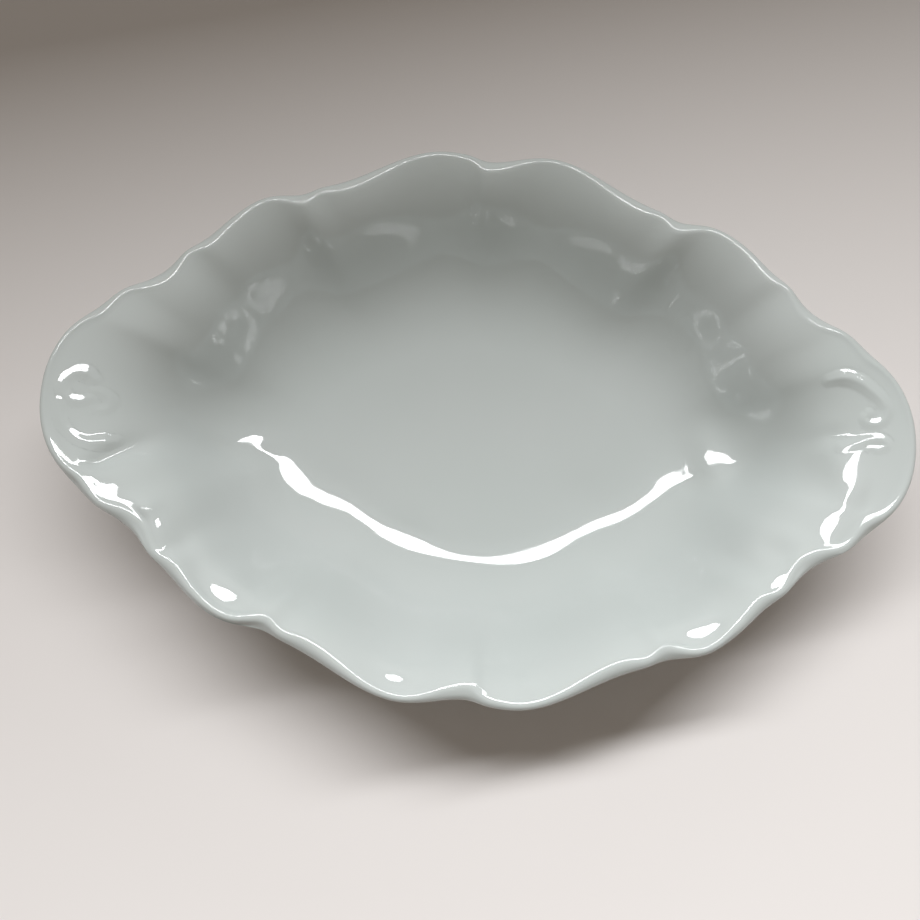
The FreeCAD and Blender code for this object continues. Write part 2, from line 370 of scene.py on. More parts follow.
def round_weights(tree, place):
    """Shares of crest, brow and under rings in a half-round section."""
    turn = product(tree, place, math.pi)
    sine = calc(tree, "SINE", turn)
    cosine = calc(tree, "COSINE", turn)
    crest = calc(tree, "SUBTRACT", calc(tree, "ADD", 1, cosine), sine)
    under = calc(tree, "SUBTRACT", calc(tree, "SUBTRACT", 1, cosine), sine)
    return [product(tree, crest, 0.5), sine, product(tree, under, 0.5)]


def disc_weights(tree, place):
    """Share of one ring that shrinks to the middle, down to height 0: level() lifts it again."""
    return [place]


WALL_BAND = band_tree("wall_band", bezier_weights)
LIP_BAND = band_tree("lip_band", round_weights)
FLOOR_BAND = band_tree("floor_band", disc_weights)


def hollow_tree():
    """Depth of one soft hollow at a place in plan; it is turned, with a reach each way."""
    sockets = [
        ("Place", "NodeSocketVector"),
        ("Middle", "NodeSocketVector"),
        ("Turn", "NodeSocketFloat"),
        ("Across", "NodeSocketFloat"),
        ("Along", "NodeSocketFloat"),
        ("Depth", "NodeSocketFloat"),
    ]
    tree, start, end = new_tree("soft_hollow", sockets, outputs=(("Depth", "NodeSocketFloat"),))
    away = vector_calc(tree, "SUBTRACT", start.outputs["Place"], start.outputs["Middle"])
    inputs = {"Vector": away, "Angle": product(tree, start.outputs["Turn"], -1)}
    turned = add(tree, "ShaderNodeVectorRotate", inputs, rotation_type="Z_AXIS")
    parts = add(tree, "ShaderNodeSeparateXYZ", {0: turned.outputs[0]})
    across = calc(tree, "DIVIDE", parts.outputs["X"], start.outputs["Across"])
    along = calc(tree, "DIVIDE", parts.outputs["Y"], start.outputs["Along"])
    square = calc(tree, "ADD", product(tree, across, across), product(tree, along, along))
    bell = calc(tree, "EXPONENT", product(tree, square, -1))
    tree.links.new(product(tree, bell, start.outputs["Depth"]), end.inputs[0])
    return tree


HOLLOW = hollow_tree()
# Soft hollows and swellings that the mould leaves inside the lip and at the foot of the wall:
# middle in millimetres, turn of their own X in degrees, reach along their X and their Y, and depth,
# which is negative for a swelling. These rows were fitted by a separate program, not set by hand.
HOLLOWS = [
    (-128.4, -23.8, 220, 14.0, 3.2, 1.7),     # left end and corner lobe
    (-112.8, -35.6, 334, 10.4, 4.3, -0.6),
    (-121.5, -19.0, 215, 10.7, 6.1, 2.1),
    (-120.9, -33.1, 274, 3.2, 13.9, 0.2),
    (-107.6, -49.8, 231, 4.2, 4.9, -0.2),
    (-104.3, -46.2, 219, 7.6, 8.2, -0.8),
    (-98.4, -50.9, 192, 4.4, 3.2, 0.7),
    (-128.3, -32.2, 269, 3.9, 3.2, 1.1),
    (-116.6, -41.4, 311, 3.2, 6.0, 0.2),
    (-111.3, -46.5, 165, 9.9, 5.0, -0.1),
    (-109.7, -38.3, 223, 3.4, 3.2, -1.2),
    (-77.2, -71.5, 254, 6.1, 14.0, 1.5),      # left shoulder lobe
    (-77.7, -61.6, 233, 4.3, 8.9, -2.1),
    (-89.6, -60.6, 213, 3.2, 13.4, 1.2),
    (-23.5, -90.8, 256, 3.9, 9.1, 1.5),       # side lobes
    (-21.6, -87.2, 274, 4.4, 6.4, -1.1),
    (2.7, -90.3, 278, 3.5, 13.2, -0.5),
    (21.5, -88.2, 272, 3.4, 4.2, -0.9),
    (74.1, -72.1, 274, 3.2, 11.7, 1.1),       # right shoulder lobe
    (75.5, -64.5, 287, 3.5, 7.8, -1.7),
    (84.7, -68.1, 275, 4.8, 3.8, 0.9),
    (105.2, -48.5, 289, 3.0, 4.3, 1.0),       # right corner lobe
    (102.6, -48.5, 276, 3.6, 14.0, -1.2),
    (104.5, -39.3, 245, 5.2, 6.2, 1.6),
    (126.1, -24.9, 328, 14.0, 9.8, 0.5),      # right end
    (128.3, -18.9, 47, 8.0, 3.2, -0.5),
    (135.2, -18.8, 353, 3.2, 12.5, 0.5),
    (126.0, -7.5, 198, 7.0, 13.8, -2.3),
    (125.8, -34.5, 272, 7.2, 3.2, -0.8),
    (122.8, 1.7, 101, 4.1, 8.7, 1.0),
    (124.8, 2.7, 68, 3.2, 3.2, 0.4),
    (-95.4, -11.8, 342, 8.8, 4.6, 0.9),       # foot of the wall, left
    (-80.7, -6.2, 243, 3.4, 3.9, -0.3),
    (-75.0, -16.9, 298, 14.0, 3.2, 0.6),
    (-70.7, -11.2, 240, 4.2, 12.0, 0.2),
    (-47.5, -22.0, 239, 7.8, 14.0, 0.8),      # foot of the wall, middle
    (-21.7, -36.0, 248, 4.1, 14.0, 0.5),
    (26.6, -40.5, 291, 3.9, 14.0, -0.2),
    (44.0, -19.7, 328, 11.7, 12.7, 1.0),
    (101.0, -5.5, 316, 4.7, 14.0, 1.4),       # foot of the wall, right
    (83.7, -6.8, 212, 10.7, 3.2, -0.2),
    (83.1, -11.5, 314, 5.5, 13.0, 0.9),
    (89.4, -3.2, 15, 6.2, 14.0, -2.2),
]
HOLLOW_FADE = 0.8 * MM        # drop below the rim over which a hollow comes to its full depth
UPRIGHT_FADE = 0.5            # height of a unit normal below which it dies out, on the lip's side
WAVE_DETAIL = 1.0
WAVE_ROUGHNESS = 0.4


def handmade_tree():
    """What the mould and the hand leave: a slow wave, a finer one, and the hollows in the wall."""
    sockets = [
        ("Geometry", "NodeSocketGeometry"),
        ("Slow Seed", "NodeSocketFloat"),
        ("Slow Height", "NodeSocketFloat"),
        ("Slow Scale", "NodeSocketFloat"),
        ("Fine Seed", "NodeSocketFloat"),
        ("Fine Height", "NodeSocketFloat"),
        ("Fine Scale", "NodeSocketFloat"),
        ("Rim Height", "NodeSocketFloat"),
        ("Hollow Fade", "NodeSocketFloat"),
        ("Upright Fade", "NodeSocketFloat"),
    ]
    tree, start, end = new_tree("handmade", sockets)
    shifts = []
    for pace in ("Slow", "Fine"):
        inputs = {"W": start.outputs[pace + " Seed"], "Scale": start.outputs[pace + " Scale"]}
        inputs.update({"Detail": WAVE_DETAIL, "Roughness": WAVE_ROUGHNESS})
        noise = add(tree, "ShaderNodeTexNoise", inputs, noise_dimensions="4D")
        wave = product(tree, calc(tree, "SUBTRACT", noise.outputs[0], 0.5), 2)
        shifts.append(product(tree, wave, start.outputs[pace + " Height"]))
    normal = field(tree, "GeometryNodeInputNormal")
    offset = vector_calc(tree, "SCALE", normal, calc(tree, "ADD", *shifts))
    plan = in_plan(tree)
    depth = 0.0
    for x, y, turn, across, along, deep in HOLLOWS:
        inputs = {"Place": plan, "Middle": (x * MM, y * MM, 0), "Turn": math.radians(turn)}
        inputs.update({"Across": across * MM, "Along": along * MM, "Depth": deep * MM})
        hollow = add(tree, "GeometryNodeGroup", inputs, node_tree=HOLLOW)
        depth = calc(tree, "ADD", hollow.outputs[0], depth)
    height = component(tree, field(tree, "GeometryNodeInputPosition"), "Z")
    below = calc(tree, "SUBTRACT", start.outputs["Rim Height"], height)
    shape = {"interpolation_type": "SMOOTHSTEP"}
    fade = remapped(tree, below, (0.0, start.outputs["Hollow Fade"]), **shape)
    upright = component(tree, normal, "Z")
    inside = remapped(tree, upright, (0.0, start.outputs["Upright Fade"]), **shape)
    drop = add(tree, "ShaderNodeCombineXYZ", {"Z": product(tree, depth, fade, inside, -1)})
    offset = vector_calc(tree, "ADD", offset, drop.outputs[0])
    tree.links.new(moved(tree, start.outputs["Geometry"], Offset=offset), end.inputs[0])
    return tree


HANDMADE = handmade_tree()
UNEVENNESS = {
    "Slow Seed": 3.7,
    "Slow Height": 0.08 * MM,
    "Slow Scale": 28.0,
    "Fine Seed": 11.2,
    "Fine Height": 0.012 * MM,
    "Fine Scale": 140.0,
    "Rim Height": RIM_HEIGHT,
    "Hollow Fade": HOLLOW_FADE,
    "Upright Fade": UPRIGHT_FADE,
}


def handmade(tree, geometry):
    """The geometry with the unevenness and the hollows."""
    inputs = {"Geometry": geometry, **UNEVENNESS}
    return add(tree, "GeometryNodeGroup", inputs, node_tree=HANDMADE).outputs[0]


def band(tree, group, start, rings, rows, **more):
    """A band of the skin, all round: the group on the rings, with so many rows."""
    around = start.outputs["Columns Round"]
    inputs = {"Rings": rings, "Columns Round": around, "Columns": around, "Rows": rows, "To": 1.0}
    return add(tree, "GeometryNodeGroup", {**inputs, **more}, node_tree=group).outputs[0]


def level(tree, geometry, height):
    """A geometry flattened at a height."""
    return moved(tree, geometry, Position=in_plan(tree, height))


def evaluated_rings(tree, geometry):
    """The rings as points, the same number on each."""
    return add(tree, "GeometryNodeResampleCurve", {"Curve": geometry}, mode="EVALUATED").outputs[0]


CREST_RING = 3                # places of rings in the section, counted from the floor's
UNDER_RING = 5
UNDERSIDE_RING = 8
UNDERSIDE_ROWS = 3
SEAM_REACH = 0.001 * MM       # how near points are merged where two bands meet


def bowl_tree():
    """The whole body from its rings: well, inner wall, lip, outer wall and underside."""
    sockets = [
        ("Geometry", "NodeSocketGeometry"),
        ("Columns Round", "NodeSocketInt"),
        ("Wall Rows", "NodeSocketInt"),
        ("Outer Rows", "NodeSocketInt"),
        ("Lip Rows", "NodeSocketInt"),
        ("Floor Rows", "NodeSocketInt"),
        ("Floor Height", "NodeSocketFloat"),
        ("Underside Height", "NodeSocketFloat"),
        ("Glaze", "NodeSocketMaterial"),
    ]
    tree, start, end = new_tree("bowl", sockets)
    given = start.outputs
    rings = evaluated_rings(tree, given["Geometry"])
    well = band(tree, FLOOR_BAND, start, rings, given["Floor Rows"])
    well = level(tree, well, given["Floor Height"])
    inward = {"First Ring": UNDERSIDE_RING, "From": 1.0, "To": 0.0}
    base = band(tree, FLOOR_BAND, start, rings, UNDERSIDE_ROWS, **inward)
    base = level(tree, base, given["Underside Height"])
    inner = band(tree, WALL_BAND, start, rings, given["Wall Rows"])
    crest, under = {"First Ring": CREST_RING}, {"First Ring": UNDER_RING}
    lip = band(tree, LIP_BAND, start, rings, given["Lip Rows"], **crest)
    outer = band(tree, WALL_BAND, start, rings, given["Outer Rows"], **under)
    joined = tree.nodes.new("GeometryNodeJoinGeometry")
    for part in (base, outer, lip, inner, well):
        tree.links.new(part, joined.inputs[0])
    whole = handmade(tree, merged(tree, joined.outputs[0], SEAM_REACH))
    send_out(tree, end, smooth(tree, whole), given["Glaze"])
    return tree


def grow(holder, tree, values, name, replaced):
    """Run a tree on a holder object and keep the result as a finished piece of the bowl."""
    modifier = holder.modifiers.new("build", "NODES")
    modifier.node_group = tree
    for item in tree.interface.items_tree:
        if item.in_out == "INPUT" and item.name in values:
            modifier[item.identifier] = values[item.name]
    bpy.context.view_layer.update()
    evaluated = holder.evaluated_get(bpy.context.evaluated_depsgraph_get())
    mesh = bpy.data.meshes.new_from_object(evaluated)
    mesh.name = name
    holder.modifiers.remove(modifier)
    bpy.data.objects.remove(holder)
    piece = new_object(name, mesh)
    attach(piece, "root")
    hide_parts(replaced)
    return piece


GLAZE_IOR = 1.5
GLAZE_TONE = (0.475, 0.504, 0.497, 1.0)
POOLED_TONE = (0.447, 0.483, 0.472, 1.0)
POOLED_SHARE = 0.5            # share of the pooled tone where the glaze is thickest
DRIFT_SCALE = 14.0
DRIFT_DETAIL = 3.0
TONE_SPAN = (0.35, 0.65)      # span of the drift over which the tone changes
GLOSS_SPAN = (0.3, 0.7)       # and over which the gloss does
GLOSS_ROUGHNESS = (0.035, 0.06)
SPECK_SCALE = 42.0
SPECK_SIZE = 0.022
SPECK_RARITY = 0.9
SPECK_STRENGTH = 0.7
SPECK_TONE = (0.06, 0.055, 0.045, 1.0)
RIPPLE_SCALE = 320.0
RIPPLE_DETAIL = 2.0
RIPPLE_STRENGTH = 0.05
RIPPLE_HEIGHT = 0.05 * MM


def noise(tree, where, scale, detail):
    """A noise texture at a place."""
    inputs = {"Vector": where, "Scale": scale, "Detail": detail}
    return add(tree, "ShaderNodeTexNoise", inputs).outputs["Fac"]


def mixed(tree, share, first, second):
    """Two colours mixed by a share."""
    return add(tree, "ShaderNodeMix", {0: share, 6: first, 7: second}, data_type="RGBA").outputs[2]


def new_material(name):
    """A material, its node tree and its shader."""
    material = bpy.data.materials.new(name)
    material.use_nodes = True
    return material, material.node_tree, material.node_tree.nodes["Principled BSDF"]


def dress(tree, shader, tone, gloss, bump):
    """Link a shader to its tone, its roughness and a fine bump."""
    shader.inputs["IOR"].default_value = GLAZE_IOR
    tree.links.new(tone, shader.inputs["Base Color"])
    tree.links.new(gloss, shader.inputs["Roughness"])
    tree.links.new(add(tree, "ShaderNodeBump", bump).outputs[0], shader.inputs["Normal"])


def glaze_variation_tree():
    """Slow drift of the glaze's tone and gloss, a fine ripple, and a few dark iron specks."""
    sockets = [
        ("Vector", "NodeSocketVector"),
        ("Tone", "NodeSocketColor"),
        ("Pooled Tone", "NodeSocketColor"),
        ("Speck Size", "NodeSocketFloat"),
    ]
    outputs = [
        ("Color", "NodeSocketColor"),
        ("Roughness", "NodeSocketFloat"),
        ("Height", "NodeSocketFloat"),
    ]
    tree, start, end = new_tree("glaze_variation", sockets, "ShaderNodeTree", outputs)
    where = start.outputs["Vector"]
    drift = noise(tree, where, DRIFT_SCALE, DRIFT_DETAIL)
    pooled = remapped(tree, drift, TONE_SPAN, (0.0, POOLED_SHARE))
    tone = mixed(tree, pooled, start.outputs["Tone"], start.outputs["Pooled Tone"])
    cells = add(tree, "ShaderNodeTexVoronoi", {"Vector": where, "Scale": SPECK_SCALE})
    chosen = add(tree, "ShaderNodeSeparateColor", {0: cells.outputs["Color"]})
    size = product(tree, start.outputs["Speck Size"], chosen.outputs["Green"])
    near = calc(tree, "LESS_THAN", cells.outputs["Distance"], size)
    rare = calc(tree, "GREATER_THAN", chosen.outputs["Red"], SPECK_RARITY)
    speck = product(tree, near, rare, SPECK_STRENGTH)
    gloss = remapped(tree, drift, GLOSS_SPAN, GLOSS_ROUGHNESS)
    ripple = noise(tree, where, RIPPLE_SCALE, RIPPLE_DETAIL)
    tree.links.new(mixed(tree, speck, tone, SPECK_TONE), end.inputs["Color"])
    tree.links.new(gloss, end.inputs["Roughness"])
    tree.links.new(ripple, end.inputs["Height"])
    return tree


GLAZE_VARIATION = glaze_variation_tree()


def glaze_material():
    """Clear glossy glaze over white porcelain."""
    material, tree, shader = new_material("clear_glaze_on_porcelain")
    inputs = {"Vector": tree.nodes.new("ShaderNodeTexCoord").outputs["Object"]}
    inputs.update({"Tone": GLAZE_TONE, "Pooled Tone": POOLED_TONE, "Speck Size": SPECK_SIZE})
    variation = add(tree, "ShaderNodeGroup", inputs, node_tree=GLAZE_VARIATION).outputs
    bump = {"Strength": RIPPLE_STRENGTH, "Distance": RIPPLE_HEIGHT, "Height": variation["Height"]}
    dress(tree, shader, variation["Color"], variation["Roughness"], bump)
    return material


GLAZE = glaze_material()
WALL_RINGS = wall_rings()
bowl = grow(
    rings_object("bowl_rings", WALL_RINGS, ROUND_STEPS),
    bowl_tree(),
    {
        "Columns Round": len(WALL_RINGS[0]) * ROUND_STEPS,
        "Wall Rows": 64,
        "Outer Rows": 22,
        "Lip Rows": 14,
        "Floor Rows": 18,
        "Floor Height": WELL_FLOOR_HEIGHT,
        "Underside Height": UNDERSIDE_HEIGHT,
        "Glaze": GLAZE,
    },
    "porcelain_bowl",
    "bowl_body",
)

# ---- End scrolls ----
# C-scrolls and small curls in low relief on the broad flanges at both ends. They are pressed with
# the clay in the mould, so they swell out of the wall with no edge, and the glaze rounds them.
SCROLL_HALF_WIDTH = 3.6 * MM
CURL_HALF_WIDTH = 2.8 * MM
RIGHT_SCROLL_HEIGHT = 1.02 * MM
RIGHT_CURL_HEIGHT = 0.4 * MM
LEFT_SCROLL_HEIGHT = 0.5 * MM
LEFT_CURL_HEIGHT = 0.22 * MM
FLANK_STRAIGHTNESS = 0.067    # share of the third wave in a swelling's section: straightens it
RELIEF_SINK = 0.3 * MM
PATCH_STEPS = 26              # finer mesh columns to a control point of the rim, for the relief
PATCH_POINTS = 9              # control points of the rim in a patch, each way from its end
PATCH_ROWS = 130
PATCH_FROM = 0.55             # where a patch starts, as a share of the wall's section
RIGHT_END = 29                # control point of the rim that follows the right end
SWELL_END = 0.97              # share of the half width where the thinning edge of a swelling stops
EDGE_ANGLE = math.radians(60)
RELIEF_SEAM_REACH = 0.0001 * MM
LINE_STEPS = 24

# Lines in plan, in millimetres: in from the end, across, and the share of the full height.
RIGHT_SCROLL = [
    [
        (26, 21.8, 0.5), (21.2, 22.6, 1), (16.5, 21.2, 0.93), (12, 18, 0.8), (8.4, 14.4, 0.6),
        (7, 11, 0.45), (8.5, 7.6, 0.36), (11.5, 6.6, 0.36), (14, 8.2, 0.36), (13, 10.4, 0.3),
    ],
]
RIGHT_CURL = [
    [
        (21, -1.5, 0.9), (17, -0.3, 1), (13, 1, 0.8), (9, 1.2, 0.8), (7, -0.4, 0.6), (9, -2.2, 0.5),
        (12, -2, 0.5),
    ],
]
LEFT_SCROLL = [
    [
        (13.8, -1.6, 0.3), (9.6, -3.1, 0.5), (5.8, -1.4, 0.5), (4.7, 2.6, 0.55), (7.4, 6.2, 0.55),
        (11.2, 7, 1), (14.2, 5.2, 0.5),
    ],
    [
        (4.6, -3.2, 0.4), (4.9, -9, 0.4), (8.4, -14, 0.24), (13.8, -16.8, 0.4), (20.2, -16.4, 1),
        (23.5, -15.4, 0.4),
    ],
]
LEFT_CURL = [
    [
        (14.2, 1.2, 0.4), (17.6, 0.6, 0.8), (20, -1.8, 1), (19, -4.6, 0.8), (16.2, -5.4, 0.4),
    ],
]


def line_object(name, end, paths):
    """Curves in plan through the points of a scroll; their radius carries the share of height."""
    curve = bpy.data.curves.new(name, "CURVE")
    curve.dimensions = "3D"
    for path in paths:
        spline = curve.splines.new("BEZIER")
        spline.bezier_points.add(len(path) - 1)
        spline.resolution_u = LINE_STEPS
        for point, (inset, y, share) in zip(spline.bezier_points, path):
            point.co = (end * (CREST_HALF_LENGTH - inset * MM), y * MM, 0)
            point.handle_left_type = "AUTO"
            point.handle_right_type = "AUTO"
            point.radius = share
    return new_object(name, curve)


def kept(tree, geometry, kind, value):
    """Store a field on the points of a geometry; gives the geometry and the stored field."""
    store = add(tree, "GeometryNodeCaptureAttribute", {"Geometry": geometry})
    store.capture_items.new(kind, "kept")
    tree.links.new(value, store.inputs[1])
    return store.outputs["Geometry"], store.outputs[1]


def swelling(tree, away):
    """Share of height in the section of a swelling, from its middle at 0 to its foot at 1."""
    wave = calc(tree, "COSINE", product(tree, away, math.pi))
    third = calc(tree, "COSINE", product(tree, away, 3 * math.pi))
    both = calc(tree, "MULTIPLY_ADD", third, FLANK_STRAIGHTNESS, wave)
    return calc(tree, "MULTIPLY_ADD", both, 0.5 / (1 + FLANK_STRAIGHTNESS), 0.5)


def relief_tree():
    """A patch of the wall that swells along a line, cut off at the foot of the swelling."""
    sockets = [
        ("Geometry", "NodeSocketGeometry"),
        ("Line", "NodeSocketObject"),
        ("Columns Round", "NodeSocketInt"),
        ("First Column", "NodeSocketInt"),
        ("Columns", "NodeSocketInt"),
        ("Rows", "NodeSocketInt"),
        ("From", "NodeSocketFloat"),
        ("Half Width", "NodeSocketFloat"),
        ("Height", "NodeSocketFloat"),
        ("Sink", "NodeSocketFloat"),
        ("Glaze", "NodeSocketMaterial"),
    ]
    tree, start, end = new_tree("relief", sockets)
    given = start.outputs
    inputs = {"Rings": evaluated_rings(tree, given["Geometry"]), "To": 1.0}
    for name in ("Columns Round", "First Column", "Columns", "Rows", "From"):
        inputs[name] = given[name]
    wall = add(tree, "GeometryNodeGroup", inputs, node_tree=WALL_BAND)
    line = add(tree, "GeometryNodeObjectInfo", {"Object": given["Line"]}).outputs["Geometry"]
    curve, share = kept(tree, line, "FLOAT", field(tree, "GeometryNodeInputRadius"))
    wire = add(tree, "GeometryNodeCurveToMesh", {"Curve": curve}).outputs[0]
    inputs = {"Geometry": wire, "Sample Position": in_plan(tree)}
    near = add(tree, "GeometryNodeProximity", inputs, target_element="EDGES")
    inputs = {"Geometry": wire, "Sample Position": near.outputs["Position"]}
    nearest = add(tree, "GeometryNodeSampleNearest", inputs)
    found = sampled(tree, wire, share, nearest.outputs[0], "FLOAT")
    reach = product(tree, given["Half Width"], calc(tree, "MULTIPLY_ADD", found, 0.5, 0.5))
    away = calc(tree, "MINIMUM", calc(tree, "DIVIDE", near.outputs["Distance"], reach), 1)
    outside = calc(tree, "GREATER_THAN", away, SWELL_END)
    swell = product(tree, swelling(tree, away), calc(tree, "SUBTRACT", 1, outside))
    patch, dropped = kept(tree, handmade(tree, wall.outputs[0]), "BOOLEAN", outside)
    patch, height = kept(tree, patch, "FLOAT", product(tree, swell, found))
    inputs = {"Geometry": patch, "Selection": dropped}
    cut = add(tree, "GeometryNodeDeleteGeometry", inputs, domain="FACE").outputs[0]
    normal = field(tree, "GeometryNodeInputNormal")
    up = vector_calc(tree, "SCALE", normal, product(tree, height, given["Height"]))
    down = vector_calc(tree, "SCALE", normal, product(tree, height, given["Sink"], -1))
    bottom = add(tree, "GeometryNodeFlipFaces", {"Mesh": moved(tree, cut, Offset=down)})
    joined = tree.nodes.new("GeometryNodeJoinGeometry")
    for side in (moved(tree, cut, Offset=up), bottom.outputs[0]):
        tree.links.new(side, joined.inputs[0])
    whole = smooth(tree, merged(tree, joined.outputs[0], RELIEF_SEAM_REACH))
    angle = tree.nodes.new("GeometryNodeInputMeshEdgeAngle").outputs["Unsigned Angle"]
    inputs = {"Geometry": whole, "Selection": calc(tree, "GREATER_THAN", angle, EDGE_ANGLE)}
    inputs["Shade Smooth"] = False
    creased = add(tree, "GeometryNodeSetShadeSmooth", inputs, domain="EDGE")
    send_out(tree, end, creased.outputs[0], given["Glaze"])
    return tree


RELIEF = relief_tree()
for name, end, path, half_width, height in (
    ("right_scroll", 1, RIGHT_SCROLL, SCROLL_HALF_WIDTH, RIGHT_SCROLL_HEIGHT),
    ("right_curl", 1, RIGHT_CURL, CURL_HALF_WIDTH, RIGHT_CURL_HEIGHT),
    ("left_scroll", -1, LEFT_SCROLL, SCROLL_HALF_WIDTH, LEFT_SCROLL_HEIGHT),
    ("left_curl", -1, LEFT_CURL, CURL_HALF_WIDTH, LEFT_CURL_HEIGHT),
):
    line = line_object(name + "_line", end, path)
    tip = RIGHT_END if end > 0 else RIGHT_END + len(WALL_RINGS[0]) // 2
    relief = grow(
        rings_object(name + "_rings", WALL_RINGS[: CREST_RING + 1], PATCH_STEPS),
        RELIEF,
        {
            "Line": line,
            "Columns Round": len(WALL_RINGS[0]) * PATCH_STEPS,
            "First Column": (tip - PATCH_POINTS) * PATCH_STEPS,
            "Columns": 2 * PATCH_POINTS * PATCH_STEPS,
            "Rows": PATCH_ROWS,
            "From": PATCH_FROM,
            "Half Width": half_width,
            "Height": height,
            "Sink": RELIEF_SINK,
            "Glaze": GLAZE,
        },
        "raised_" + name,
        name,
    )
    bpy.data.objects.remove(line)

# ---- Foot ring ----
# A low pointed ring of the same clay under the floor, on which the bowl stands. The glaze runs down
# its sides and stops above the edge, which is wiped bare before firing and rubbed by the table.
FOOT_HALF_LENGTH = 60.0 * MM
FOOT_HALF_WIDTH = 27.0 * MM
FOOT_POINT = 1.4
FOOT_HALF_TOP = 2.95 * MM     # half the width of the ring where it meets the underside
FOOT_HALF_BEND = 2.25 * MM    # and where its bearing edge starts to round
FOOT_HALF_EDGE = 1.45 * MM
FOOT_BEND_HEIGHT = 0.8 * MM
FOOT_SUNK = 0.15 * MM         # how far the top of the ring goes into the underside
FOOT_POINTS = 32
FOOT_SIDE_STEPS = 5
FOOT_ROUND_STEPS = 4
FOOT_COLUMN_STEPS = 12        # mesh columns from one control point of the ring to the next
BARE_HEIGHT = 0.9 * MM        # height up to which the glaze is wiped off
BARE_WANDER = 0.5 * MM        # how much that line goes up and down
BARE_EDGE = 0.1 * MM          # how far the glaze thins out on both sides of it
BARE_TONE = (0.62, 0.58, 0.52, 1.0)
RUBBED_TONE = (0.44, 0.40, 0.35, 1.0)
BARE_ROUGHNESS = 0.7
SIDE_ROUGHNESS = 0.06
WANDER_SCALE = 90.0
WANDER_DETAIL = 2.0
GRIT_SCALE = 2600.0
GRIT_DETAIL = 3.0
GRIT_STRENGTH = 0.3
GRIT_HEIGHT = 0.04 * MM


def foot_rings():
    """Control rings of the foot, down its outer side, round the bearing edge and up inside."""
    turns = [2 * math.pi * step / FOOT_POINTS for step in range(FOOT_POINTS)]
    middle = [pointed_oval(FOOT_HALF_LENGTH, FOOT_HALF_WIDTH, FOOT_POINT, turn) for turn in turns]
    normals = outward(middle)
    top = UNDERSIDE_HEIGHT + FOOT_SUNK
    side = []
    for step in range(FOOT_SIDE_STEPS + 1):
        share = step / FOOT_SIDE_STEPS
        reach = FOOT_HALF_TOP + (FOOT_HALF_BEND - FOOT_HALF_TOP) * share
        side.append((reach, top + (FOOT_BEND_HEIGHT - top) * share))
    for step in range(1, FOOT_ROUND_STEPS + 1):
        turn = math.pi / 2 * step / FOOT_ROUND_STEPS
        reach = FOOT_HALF_EDGE + (FOOT_HALF_BEND - FOOT_HALF_EDGE) * math.cos(turn)
        side.append((reach, FOOT_BEND_HEIGHT * (1 - math.sin(turn))))
    section = side + [(-reach, height) for reach, height in reversed(side)]
    return [
        lifted([m + n * reach for m, n in zip(middle, normals)], height)
        for reach, height in section
    ]


def foot_tree():
    """A closed skin straight through rings that lie round one section."""
    sockets = [
        ("Geometry", "NodeSocketGeometry"),
        ("Columns Round", "NodeSocketInt"),
        ("Rings", "NodeSocketInt"),
        ("Foot", "NodeSocketMaterial"),
    ]
    tree, start, end = new_tree("foot_ring", sockets)
    around = start.outputs["Columns Round"]
    grid, column, row = cell_grid(tree, around, start.outputs["Rings"])
    ring = calc(tree, "FLOORED_MODULO", row, start.outputs["Rings"])
    at = calc(tree, "MULTIPLY_ADD", ring, around, calc(tree, "FLOORED_MODULO", column, around))
    rings = evaluated_rings(tree, start.outputs["Geometry"])
    skin = sampled(tree, rings, field(tree, "GeometryNodeInputPosition"), at)
    whole = merged(tree, moved(tree, grid, Position=skin), SEAM_REACH)
    send_out(tree, end, smooth(tree, whole), start.outputs["Foot"])
    return tree


def foot_material():
    """Glaze down to a wandering line, and bare fired clay with rubbed grit below it."""
    material, tree, shader = new_material("wiped_foot")
    where = tree.nodes.new("ShaderNodeTexCoord").outputs["Object"]
    wander = noise(tree, where, WANDER_SCALE, WANDER_DETAIL)
    grit = noise(tree, where, GRIT_SCALE, GRIT_DETAIL)
    line = calc(tree, "MULTIPLY_ADD", wander, BARE_WANDER, BARE_HEIGHT - BARE_WANDER / 2)
    above = calc(tree, "SUBTRACT", component(tree, where, "Z"), line)
    glazed = remapped(tree, above, (-BARE_EDGE, BARE_EDGE))
    tone = mixed(tree, glazed, mixed(tree, grit, BARE_TONE, RUBBED_TONE), GLAZE_TONE)
    gloss = remapped(tree, glazed, (0.0, 1.0), (BARE_ROUGHNESS, SIDE_ROUGHNESS))
    bump = {"Strength": GRIT_STRENGTH, "Distance": GRIT_HEIGHT, "Height": grit}
    dress(tree, shader, tone, gloss, bump)
    return material


FOOT_RINGS = foot_rings()
foot = grow(
    rings_object("foot_rings", FOOT_RINGS, FOOT_COLUMN_STEPS),
    foot_tree(),
    {
        "Columns Round": FOOT_POINTS * FOOT_COLUMN_STEPS,
        "Rings": len(FOOT_RINGS),
        "Foot": foot_material(),
    },
    "bare_edged_foot",
    "foot_ring",
)

# ---- Table, light and camera ----
# A pale painted table top under soft daylight from one tall window beyond the bowl, with the far
# side of the room a little brighter than the rest, and a camera held almost straight above.
TABLE_CORNERS = [(-3, -3, 0), (3, -3, 0), (3, 3, 0), (-3, 3, 0)]
TABLE_TONE = (0.682, 0.648, 0.636, 1)
TABLE_ROUGHNESS = 0.6
ROOM_TONE = (1.0, 0.89, 0.76, 1)
ROOM_STRENGTH = 0.235
DAYLIGHT = (0.97, 0.99, 1.0)
WINDOW_FOOT = Vector((0, 0.21, 0))
WINDOW_LEAN = math.radians(12)
WINDOW_TURN = math.radians(14)
WINDOW_SILL = 0.76            # from the foot to the lower edge, up along the leaning pane
WINDOW_TOP = 1.2
WINDOW_WIDTH = 1.2
WINDOW_ASIDE = 0.03
WINDOW_RADIANCE = 30.5
FAR_SIDE_PLACE = Vector((0.3, 1.6, 0.8))
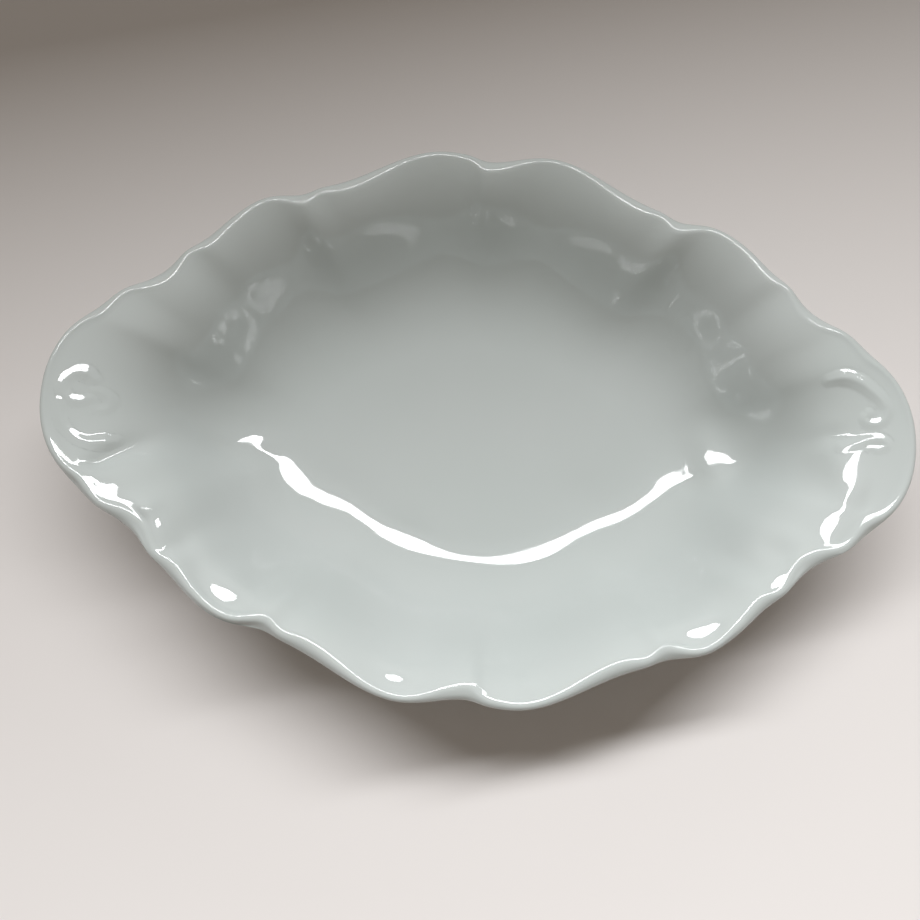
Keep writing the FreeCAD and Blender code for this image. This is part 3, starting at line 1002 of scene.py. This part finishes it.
FAR_SIDE_WIDTH = 1.2
FAR_SIDE_HEIGHT = 0.5
FAR_SIDE_POWER = 3.0
CAMERA_ELEVATION = math.radians(80.141)
CAMERA_AZIMUTH = math.radians(-0.965)
CAMERA_ROLL = math.radians(-2.695)
CAMERA_PLACE = Vector((-4.231 * MM, -73.473 * MM, 334.036 * MM + RIM_HEIGHT))
CAMERA_LENS = 38.93
CAMERA_NEAR_LIMIT = 0.01

table_mesh = bpy.data.meshes.new("table")
table_mesh.from_pydata(TABLE_CORNERS, [], [(0, 1, 2, 3)])
table = new_object("table", table_mesh)
table_paint, _, paint_shader = new_material("pale_paint")
paint_shader.inputs["Base Color"].default_value = TABLE_TONE
paint_shader.inputs["Roughness"].default_value = TABLE_ROUGHNESS
table_mesh.materials.append(table_paint)

world = bpy.data.worlds.new("room")
bpy.context.scene.world = world
world.use_nodes = True
world.node_tree.nodes["Background"].inputs["Color"].default_value = ROOM_TONE
world.node_tree.nodes["Background"].inputs["Strength"].default_value = ROOM_STRENGTH
bpy.context.scene.view_settings.view_transform = "Standard"


def daylight(name, width, height, power, pane):
    """A rectangle of daylight; pane is its matrix, and it shines down its own Z."""
    data = bpy.data.lights.new(name, "AREA")
    data.shape = "RECTANGLE"
    data.size = width
    data.size_y = height
    data.energy = power
    data.color = DAYLIGHT
    light = new_object(name, data)
    light.matrix_world = pane
    return light


window_height = WINDOW_TOP - WINDOW_SILL
window_power = WINDOW_RADIANCE * math.pi * WINDOW_WIDTH * window_height
upright_pane = Matrix.Rotation(-math.radians(90) - WINDOW_LEAN, 4, "X")
window_pane = Matrix.Rotation(WINDOW_TURN, 4, "Z") @ upright_pane
window_middle = window_pane @ Vector((WINDOW_ASIDE, -(WINDOW_SILL + WINDOW_TOP) / 2, 0))
window_place = Matrix.Translation(WINDOW_FOOT + window_middle) @ window_pane
daylight("window", WINDOW_WIDTH, window_height, window_power, window_place)

far_side_turn = (-FAR_SIDE_PLACE).to_track_quat("-Z", "Y").to_matrix().to_4x4()
far_side_place = Matrix.Translation(FAR_SIDE_PLACE) @ far_side_turn
far_side = daylight(
    "far_side", FAR_SIDE_WIDTH, FAR_SIDE_HEIGHT, FAR_SIDE_POWER, far_side_place
)
far_side.visible_glossy = False

camera_data = bpy.data.cameras.new("camera")
camera_data.lens = CAMERA_LENS
camera_data.clip_start = CAMERA_NEAR_LIMIT
camera = new_object("camera", camera_data)
tilt = Matrix(
    (
        (1, 0, 0),
        (0, math.sin(CAMERA_ELEVATION), math.cos(CAMERA_ELEVATION)),
        (0, -math.cos(CAMERA_ELEVATION), math.sin(CAMERA_ELEVATION)),
    )
)
facing = Matrix.Rotation(CAMERA_ROLL, 3, "Z") @ tilt @ Matrix.Rotation(CAMERA_AZIMUTH, 3, "Z")
camera.matrix_world = Matrix.Translation(CAMERA_PLACE) @ facing.transposed().to_4x4()
bpy.context.scene.camera = camera
